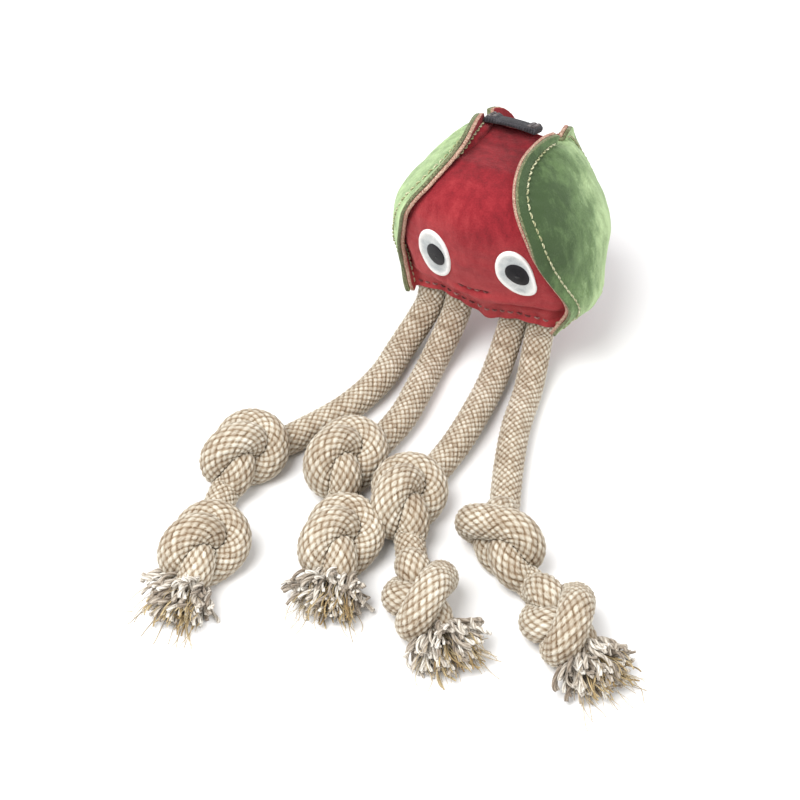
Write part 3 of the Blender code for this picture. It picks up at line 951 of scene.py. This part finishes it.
def seam_frames(rows):
    """The seam at +X on the face side: its points, the directions of its flange and of the side, and
    each point's share of the way from the hem to the crown."""
    points = [np.array((x, -y, z)) * MM for z, x, y in SEAM_POINTS]
    line = evenly(smooth_line(points, 0.5 * MM), rows)
    heading = headings_of(line)
    share = np.linspace(0, 1, rows)
    lean_in = 0.8 - 0.7 * share + 0.8 * np.sin(math.pi * share)
    flange = unit(line - HEAD_CENTRE)
    flange[:, 0] -= lean_in
    flange = unit(flange - heading * (flange * heading).sum(1)[:, None])
    side = unit(np.cross(heading, flange))
    return line, flange, side, share


def flange_width(share):
    """The flange is narrower at both ends of its seam."""
    return FLANGE_WIDTH * (0.6 + 0.4 * np.sqrt(np.maximum(np.sin(math.pi * share), 0)))


def hem_depth(x):
    """Half depth of the hem's wave, which opens round the two pairs of rope ends."""
    return (1.2 + 4.9 / (1 + ((np.abs(x) / MM - 18.75) / 13) ** 6)) * MM


def panel_point(x_share, point, share):
    """A point on the face panel's middle surface, between its two seams."""
    x = point[0] * x_share
    fullness = math.sin(math.pi * share**0.5) * (1 - 0.35 * share)
    gutter = GUTTER_DEPTH * x_share**2 * math.sin(math.pi * share)
    depth = -point[1] + FRONT_BULGE * (1 - x_share**2) * fullness - gutter
    near_hem = max(0, 1 - point[2] / CHIN_HEIGHT) ** 0.8
    depth = depth * (1 - near_hem) + hem_depth(x) * near_hem
    near_crown = max(0, (point[2] - CROWN_HEIGHT) / (SEAM_TOP - CROWN_HEIGHT))
    crown_depth = CROWN_HALF_GAP - (point[1] + CROWN_HALF_GAP) * x_share**10
    depth = depth * (1 - near_crown) + crown_depth * near_crown
    return np.array((x, -depth, point[2]))


def panel_grid():
    """The face panel's middle surface, from flange to flange."""
    mirror = np.array((-1, 1, 1))
    grid = []
    for point, flange, side, share in zip(*seam_frames(HEAD_ROWS)):
        root = point - side * (LEATHER + SEAM_GAP) / 2
        edge = root + flange * flange_width(share)
        right = [root - side * GUTTER_WIDTH, root, (root + edge) / 2, edge]
        left = [corner * mirror for corner in reversed(right)]
        across = [2 * k / PANEL_COLUMNS - 1 for k in range(2, PANEL_COLUMNS - 1)]
        middle = [panel_point(x_share, point, share) for x_share in across]
        grid.append(split_line(left + middle + right, COLUMN_SPLITS))
    return np.array(grid)


def gusset_grid():
    """One leaf-shaped side, from its front flange to its back flange."""
    back = np.array((1, -BACK_DEPTH_SHARE, 1))
    grid = []
    for point, flange, side, share in zip(*seam_frames(HEAD_ROWS)):
        root = point + side * (LEATHER + SEAM_GAP) / 2
        edge = root + flange * flange_width(share)
        front = [edge, (edge + root) / 2, root]
        bulge = GUSSET_BULGE * math.sin(math.pi * share**1.5)
        tip = GUSSET_TIP * max(0, 1 - (1 - share) / TIP_SHARE) ** 2
        middle = []
        for k in range(1, GUSSET_COLUMNS):
            across = 2 * k / GUSSET_COLUMNS - 1
            depth = BACK_DEPTH_SHARE if across > 0 else 1
            arch = 1 - across**2
            x = root[0] + (bulge - tip) * arch
            middle.append(np.array((x, -root[1] * across * depth, root[2] - 0.35 * tip * arch)))
        behind = [corner * back for corner in reversed(front)]
        grid.append(split_line(front + middle + behind, COLUMN_SPLITS))
    return np.array(grid)


def noise_at(points, size, seed):
    """Smooth noise between about -1 and 1 whose lumps have this size."""
    flat = points.reshape(-1, 3) / size + seed
    values = [noise.fractal(Vector(place), 0.8, 2.0, 2) for place in flat]
    return np.array(values).reshape(points.shape[:-1])


def normals_of(grid):
    return unit(np.cross(np.gradient(grid, axis=1), np.gradient(grid, axis=0)))


def seam_distance(grid, flange_columns):
    """How far each point of a grid is from its nearer flange root, along its row."""
    steps = np.linalg.norm(np.diff(grid, axis=1), axis=2)
    along = np.concatenate([np.zeros((len(grid), 1)), np.cumsum(steps, 1)], 1)
    left = along[:, flange_columns][:, None]
    right = along[:, -1 - flange_columns][:, None]
    return np.minimum(along - left, right - along)


def crumple(grid, seed, flange_columns):
    """How far the leather stands in or out: soft dents, small wrinkles and puckers along its seams."""
    inward = seam_distance(grid, flange_columns)
    rows = np.arange(len(grid))[:, None] / (len(grid) - 1)
    along = rows * length_of(seam_frames(HEAD_ROWS)[0])
    lift = 0.55 * MM * noise_at(grid, 17 * MM, seed) + 0.2 * MM * noise_at(grid, 5 * MM, seed + 7)
    pucker = np.exp(-np.clip(inward, 0, None) / (4.5 * MM)) * np.clip(inward / (1.5 * MM), 0, 1)
    wave = np.sin(along / (2 * STITCH_PITCH) * math.tau + 2.5 * noise_at(grid, 12 * MM, seed + 3))
    return lift * np.clip(0.25 + inward / (6 * MM), 0.25, 1) + 0.38 * MM * pucker * wave


def smile_height(x):
    return MOUTH_HEIGHT + (x / SMILE_WIDTH) ** 2 * SMILE_RISE


def face_folds(grid):
    """The face's own folds: the smile, the roll and the crease below it, and pleats at the hem."""
    x, z = grid[..., 0], grid[..., 2]
    smile = smile_height(x) - 0.5 * MM
    crease = -1.6 * MM * hump(z, smile, 0.9 * MM) * window(x, -8 * MM, 9 * MM, 4 * MM)
    roll = 0.9 * MM * hump(z, smile - 3 * MM, 2.4 * MM) * window(x, -12 * MM, 26 * MM, 9 * MM)
    under = MOUTH_HEIGHT - 6 * MM + 0.1 * x
    second = -1.2 * MM * hump(z, under, 1.1 * MM) * window(x, 3 * MM, 30 * MM, 7 * MM)
    near_hem = np.clip(1 - z / (15 * MM), 0, 1)
    pleat = 0.55 * MM * near_hem * np.sin(x / (8.3 * MM) * math.tau + 2 * noise_at(grid, 14 * MM, 31))
    return crease + roll + second + pleat


def crown_tuck(grid):
    """How far the back panel's top edge moves forward and down, to pass under the face panel's."""
    rows_below = len(grid) - 1 - np.arange(len(grid))
    near = eased(np.clip(1 - rows_below / TUCK_ROWS, 0, 1))[:, None]
    inside = window(grid[..., 0], -TUCK_HALF_WIDTH, TUCK_HALF_WIDTH, 2.5 * MM)
    return (near * inside)[..., None] * TUCK


def gusset_nap_and_painted_light(grid, across):
    """Painted light and shade on the green suede, with a little brushing: palest behind its middle and low
    down, and paler at -X.
    """
    forward = np.clip(-grid[..., 1] / (35 * MM), -1, 1)
    height = grid[..., 2] / SEAM_TOP
    nap_and_painted_light = 0.24 - 0.05 * across - (0.2 + 0.14 * across) * forward - 0.16 * height
    nap_and_painted_light = np.minimum(nap_and_painted_light, 0.2 + 0.35 * (nap_and_painted_light - 0.2)) - 0.3 * np.clip(-forward - 0.25, 0, 1)
    return nap_and_painted_light + 0.07 * noise_at(grid, 9 * MM, 57)


def hem_wave(x):
    """How far the face's hem hangs lower between the two pairs of ropes, and rides up over the first."""
    return 4.2 * MM * hump(x, 2 * MM, 8 * MM) - 2.4 * MM * hump(x, -20 * MM, 9 * MM)


def sheet_piece(name, grid, normals, nap_and_painted_light, material):
    """A leather sheet of even thickness round a grid, with a rough, pale cut edge, and per-point values for
    its brushing and its painted light and shade.
    """
    rows, columns = grid.shape[:2]
    half = LEATHER / 2
    top = (grid + normals * half).reshape(-1, 3)
    bottom = (grid - normals * half).reshape(-1, 3)
    count = rows * columns
    rim = rim_of(np.arange(count).reshape(rows, columns))
    middle = rim_of(grid)
    just_inside = np.concatenate([grid[1, :-1], grid[:-1, -2], grid[-2, :0:-1], grid[:0:-1, 1]])
    ragged = noise_at(middle, 1.1 * MM, 5) * 0.22 * MM
    rim_points = middle + unit(middle - just_inside) * (0.25 * half + ragged)[:, None]
    points = np.vstack([top, bottom, rim_points])
    inner = grid_faces(rows, columns, False)
    faces = inner.tolist() + (inner[:, ::-1] + count).tolist()
    after = np.roll(np.arange(len(rim)), -1)
    for i, j in zip(range(len(rim)), after):
        faces.append([rim[j], rim[i], 2 * count + i, 2 * count + j])
        faces.append([2 * count + j, 2 * count + i, count + rim[i], count + rim[j]])
    edge = np.zeros(len(points))
    edge[rim] = 0.5
    edge[count + rim] = 0.5
    edge[2 * count :] = 1
    brushed_and_painted_light = np.concatenate([nap_and_painted_light.ravel(), nap_and_painted_light.ravel(), nap_and_painted_light.ravel()[rim]])
    return add_mesh(name, to_world(points), faces, material, {"edge": edge, "nap_and_painted_light": brushed_and_painted_light})


def laid_stitches(bundle, starts, ends, lifts, random):
    """Two-ply stitches from point to point, which rise off the leather between their holes."""
    for start, end, lift in zip(starts, ends, lifts):
        t = np.linspace(0, 1, 8)[:, None]
        rise = (np.sin(math.pi * t) ** 0.5 - 0.5) * THREAD_RADIUS * 1.6
        line = start + (end - start) * t + lift * rise
        thickness = THREAD_RADIUS * (0.7 + 0.3 * np.sin(math.pi * t[:, 0]) ** 0.3)
        rings, height = twisted_rings(to_world(line), thickness, 8, 2, 1.5, (0.3, 0.8, 0.6))
        bundle.tube(rings, random.uniform(0.3, 1), height)


def seam_stitches(name, across, depth, material):
    """The run of thread through one seam's flanges, seen on both of their sides."""
    line, flange, side = (values[3:-2] for values in seam_frames(HEAD_ROWS)[:3])
    mirror = np.array((across, depth, 1))
    count = int(length_of(line) / STITCH_PITCH)
    along = distances_along(line)
    bundle = Bundle()
    random = np.random.default_rng(len(name) + 3 * across)
    for face in (1, -1):
        offset = face * (LEATHER + SEAM_GAP / 2 + STITCH_LIFT)
        path = line + side * offset + flange * 1.3 * MM
        starts, ends, lifts = [], [], []
        for k in range(count):
            place = (k + 0.12) * STITCH_PITCH
            start = at_distance(path, along, place)
            end = at_distance(path, along, place + STITCH_SIZE)
            starts.append(start * mirror + random.normal(0, 0.08 * MM, 3))
            ends.append(end * mirror + random.normal(0, 0.08 * MM, 3))
            lifts.append(at_distance(side, along, place) * face * mirror)
        laid_stitches(bundle, starts, ends, lifts, random)
    return bundle.finish(name, material)


class Ground:
    """The face panel's outer side, so that small parts can be laid on it."""

    def __init__(self, grid, normals):
        rows, columns = grid.shape[:2]
        outer = (grid + normals * LEATHER / 2).reshape(-1, 3)
        self.normals = normals.reshape(-1, 3)
        self.faces = grid_faces(rows, columns, False)
        self.tree = BVHTree.FromPolygons([Vector(point) for point in outer], self.faces.tolist())

    def at(self, x, z, lift=0.0):
        """The point in front of the head's middle plane at this place, lifted off the leather."""
        point, _, face, _ = self.tree.ray_cast(Vector((x, -0.2, z)), Vector((0, 1, 0)))
        normal = self.normals[self.faces[face]].mean(0)
        normal = normal / np.linalg.norm(normal)
        return np.array(point) + normal * lift, normal


def eye_patch(name, ground, middle, half_size, profile, material):
    """An oval patch laid on the face. The profile goes from its middle to its rim, and gives the share
    of its size, the height and the edge value."""
    rings = []
    edges = []
    sides = 56
    angles = np.arange(sides) * math.tau / sides
    for share, lift, edge in profile:
        across = middle[0] + half_size[0] * share * np.cos(angles)
        up = middle[1] + half_size[1] * share * np.sin(angles)
        rings.append(np.array([ground.at(x * MM, z * MM, lift * MM)[0] for x, z in zip(across, up)]))
        edges.append(np.full(sides, edge))
    rings = np.array(rings)
    points = np.vstack([rings.reshape(-1, 3), [rings[0].mean(0)]])
    faces = grid_faces(len(rings), sides, True).tolist()
    faces += [[len(points) - 1, i, (i + 1) % sides] for i in range(sides)]
    values = {"edge": np.append(np.concatenate(edges), edges[0][0])}
    return add_mesh(name, to_world(points), faces, material, values)


def on_head(piece, node):
    """A piece that moves with the head, in place of one CAD node."""
    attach(piece, "head")
    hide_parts(node)


def make_eyes(ground, materials):
    parts = (("white", 0, "white_felt", WHITE_PROFILE), ("pupil", PUPIL_SHIFT, "black_felt", PUPIL_PROFILE))
    for side_name, eye in EYES.items():
        for part_name, shift, surface, profile in parts:
            middle = (eye["middle"][0] + shift, eye["middle"][1])
            name = f"eye_{part_name}_{side_name}"
            half_size = eye[part_name]
            patch = eye_patch(f"{name}_patch", ground, middle, half_size, profile, materials[surface])
            on_head(patch, name)


def stitches_across(name, ground, z_at, low, high, depth, material):
    """A row of stitches over the face at heights z_at(x); a negative depth puts it on the back."""
    bundle = Bundle()
    random = np.random.default_rng(11)
    mirror = np.array((1, depth, 1))
    starts, ends, lifts = [], [], []
    for x in np.arange(low, high, HEM_STITCH_PITCH):
        start, normal = ground.at(x, z_at(x), STITCH_LIFT)
        end, _ = ground.at(x + HEM_STITCH_SIZE, z_at(x + HEM_STITCH_SIZE), STITCH_LIFT)
        starts.append(start * mirror)
        ends.append(end * mirror)
        lifts.append(normal * mirror)
    laid_stitches(bundle, starts, ends, lifts, random)
    return bundle.finish(name, material)


def make_strap(materials):
    """Woven webbing over the crown, doubled at its ends, with a bar of stitches through each."""
    length, width, thickness = STRAP_SIZE
    middle_x, middle_y = STRAP_MIDDLE
    half = length / 2
    under = SEAM_TOP + LEATHER / 2 + 0.5 * MM
    rows, columns = 89, 49
    along = np.linspace(-half, half, rows)[:, None]
    across = np.linspace(-1, 1, columns)[None, :]
    thinned = np.maximum(window(along, -half - 1 * MM, half + 1 * MM, 1.6 * MM), 0.15)
    doubled = 0.7 * MM * (1 - window(along, -half + 4 * MM, half - 4 * MM, 1.2 * MM))
    cord_phase = math.pi * (np.floor(across * STRAP_CORDS) % 2)
    ribs = 0.5 + 0.5 * np.sin(along / (1.15 * MM) * math.tau + cord_phase)
    cords = np.abs(np.cos(across * STRAP_CORDS * math.pi))
    weave = 0.16 * MM * ribs + 0.14 * MM * cords**0.5
    body = thickness / 2 * np.sqrt(np.maximum(1 - np.abs(across) ** 6, 0))
    arch = 0.8 * MM * (1 - (along / half) ** 2) + thickness / 2
    y = middle_y + across * width / 2 + 0.3 * MM * np.sin(along / (7 * MM))
    upper = under + arch + (body + weave + doubled) * thinned
    lower = under + arch - body * thinned
    sheets = [np.stack(np.broadcast_arrays(along + middle_x, y, z), -1) for z in (upper, lower)]
    points = np.vstack([sheet.reshape(-1, 3) for sheet in sheets])
    height = np.clip(ribs * 0.5 + cords * 0.5, 0, 1).ravel()
    inner = grid_faces(rows, columns, False)
    count = rows * columns
    faces = inner[:, ::-1].tolist() + (inner + count).tolist()
    rim = rim_of(np.arange(count).reshape(rows, columns))
    for i, j in zip(rim, np.roll(rim, -1)):
        faces.append([i, j, count + j, count + i])
    values = {"height": np.concatenate([height, height]), "fibre": points}
    strap = add_mesh("strap_webbing", to_world(points), faces, materials["webbing"], values)
    on_head(strap, "top_strap")
    for side_name, sign in SIDES:
        bundle = Bundle()
        starts = []
        for bar in (-1, 1):
            x = middle_x + sign * (half - 2.3 * MM) + (bar * 0.9 - 0.8) * MM
            for y in np.arange(-4, 4.2, 0.75):
                starts.append(np.array((x, middle_y + y * MM, under + thickness + 0.9 * MM)))
        ends = [start + np.array((1.6, 0.45, 0)) * MM for start in starts]
        random = np.random.default_rng(6 + sign)
        laid_stitches(bundle, starts, ends, [np.array((0, 0, 1))] * len(starts), random)
        tack = bundle.finish(f"strap_bar_tack_{side_name}", materials["dark_thread"])
        on_head(tack, f"strap_tack_{side_name}")


def make_stuffing(materials):
    """The filling's own lumpy surface, from the CAD filling."""
    source = frame["nodes"]["stuffing"]
    mesh = source.data.copy()
    made = bpy.data.objects.new("stuffing_fibre", mesh)
    bpy.context.scene.collection.objects.link(made)
    mesh.materials.clear()
    mesh.materials.append(materials["stuffing"])
    weld = made.modifiers.new("weld", "WELD")
    weld.merge_threshold = 0.01 * MM
    finer = made.modifiers.new("finer", "SUBSURF")
    finer.levels = finer.render_levels = 2
    evaluated = made.evaluated_get(bpy.context.evaluated_depsgraph_get())
    final = bpy.data.meshes.new_from_object(evaluated)
    made.modifiers.clear()
    made.data = final
    middle = sum((v.co for v in final.vertices), Vector()) / len(final.vertices)
    for vertex in final.vertices:
        lump = noise.fractal(vertex.co / (4 * MM), 0.8, 2.0, 3)
        vertex.co -= (vertex.co - middle).normalized() * (0.9 + 0.6 * lump) * MM
    on_head(made, "stuffing")


def make_panels(materials):
    """The four sheets of suede; gives back the face panel's grid and normals."""
    flange_columns = 2 * COLUMN_SPLITS
    face = panel_grid()
    folds = face_folds(face)
    lift = crumple(face, 3, flange_columns) + folds
    near_hem = np.clip(1 - face[..., 2] / (16 * MM), 0, 1) ** 1.5
    front = face + normals_of(face) * lift[..., None]
    front[..., 2] -= hem_wave(face[..., 0]) * near_hem
    front_normals = normals_of(front)
    # Brushing patches on the face, darker towards the crown.
    front_nap_and_painted_shade = 0.07 * noise_at(front, 20 * MM, 51) + 0.25 - 0.36 * front[..., 2] / SEAM_TOP
    # Painted shade along the face's creases, where the folds dip in.
    front_nap_and_painted_shade = front_nap_and_painted_shade + 0.22 * np.minimum(folds / MM, 0)
    back = face * np.array((1, -BACK_DEPTH_SHARE, 1))
    back = back + crown_tuck(back)
    back_normals = -normals_of(back)
    back = back + back_normals * crumple(back, 19, flange_columns)[..., None]
    back_nap = 0.1 * noise_at(back, 20 * MM, 57)
    sheets = [
        ("front_panel", front, front_normals, front_nap_and_painted_shade, "red_suede"),
        ("back_panel", back, back_normals, back_nap, "red_suede"),
    ]
    for side_name, across in SIDES:
        gusset = gusset_grid() * np.array((across, 1, 1))
        normals = normals_of(gusset) * across
        gusset = gusset + normals * crumple(gusset, 40 + across * 5, flange_columns)[..., None]
        # Brushing patches with painted light and shade on each green side.
        nap_and_painted_light = 0.03 * noise_at(gusset, 26 * MM, 60 + across) + gusset_nap_and_painted_light(gusset, across)
        sheets.append((f"side_gusset_{side_name}", gusset, normals, nap_and_painted_light, "green_suede"))
    for node, grid, normals, nap_and_painted_light, surface in sheets:
        sheet = sheet_piece(f"{node}_suede", grid, normals, nap_and_painted_light, materials[surface])
        on_head(sheet, node)
    return front, front_normals


def make_seams(materials):
    """The stitches of the four seams."""
    for end_name, depth in (("front", 1), ("back", -BACK_DEPTH_SHARE)):
        for side_name, across in SIDES:
            place = f"{end_name}_{side_name}"
            thread = seam_stitches(f"seam_stitches_{place}", across, depth, materials["pale_thread"])
            on_head(thread, f"seam_thread_{place}")


def make_hem_and_mouth(ground, materials):
    """The rows of stitches over the hem, front and back, and over the mouth."""
    hem = (-29 * MM, 28 * MM)
    mouth = (-MOUTH_HALF_WIDTH, MOUTH_HALF_WIDTH)
    runs = (
        ("hem_stitches_front", "hem_thread_front", hem, lambda x: 3.4 * MM - hem_wave(x) * 0.7, 1),
        ("hem_stitches_back", "hem_thread_back", hem, lambda x: 3.4 * MM, -1),
        ("mouth_stitches", "mouth_stitch", mouth, lambda x: smile_height(x) - 0.4 * MM, 1),
    )
    for name, node, (low, high), z_at, depth in runs:
        row = stitches_across(name, ground, z_at, low, high, depth, materials["hem_thread"])
        on_head(row, node)


def make_stage():
    """The white sky, the lights, the camera and the floor."""
    bpy.context.scene.view_settings.view_transform = "Standard"
    make_camera()
    world = bpy.data.worlds.new("studio")
    world.use_nodes = True
    sky = world.node_tree.nodes["Background"].inputs
    sky["Color"].default_value = (1, 1, 1, 1)
    sky["Strength"].default_value = SKY_STRENGTH
    bpy.context.scene.world = world
    for name, values in LIGHTS.items():
        add_area_light(name, *values)
    size = FLOOR_HALF_SIZE
    corners = [(-size, -size, 0), (size, -size, 0), (size, size, 0), (-size, size, 0)]
    add_mesh("floor", corners, [(0, 1, 2, 3)], floor_paint())


def main():
    make_stage()
    materials = {name: suede(name, *looks) for name, looks in SUEDES.items()}
    materials.update((name, yarn(name, *tones)) for name, tones in YARNS.items())
    materials.update((name, felt(name, *looks)) for name, looks in FELTS.items())
    materials["braided_rope"] = braided_rope()
    materials["webbing"] = webbing()
    for index in range(len(LEGS)):
        make_leg(index, materials)
    front, front_normals = make_panels(materials)
    ground = Ground(front, front_normals)
    make_seams(materials)
    make_eyes(ground, materials)
    make_hem_and_mouth(ground, materials)
    make_strap(materials)
    make_stuffing(materials)


main()
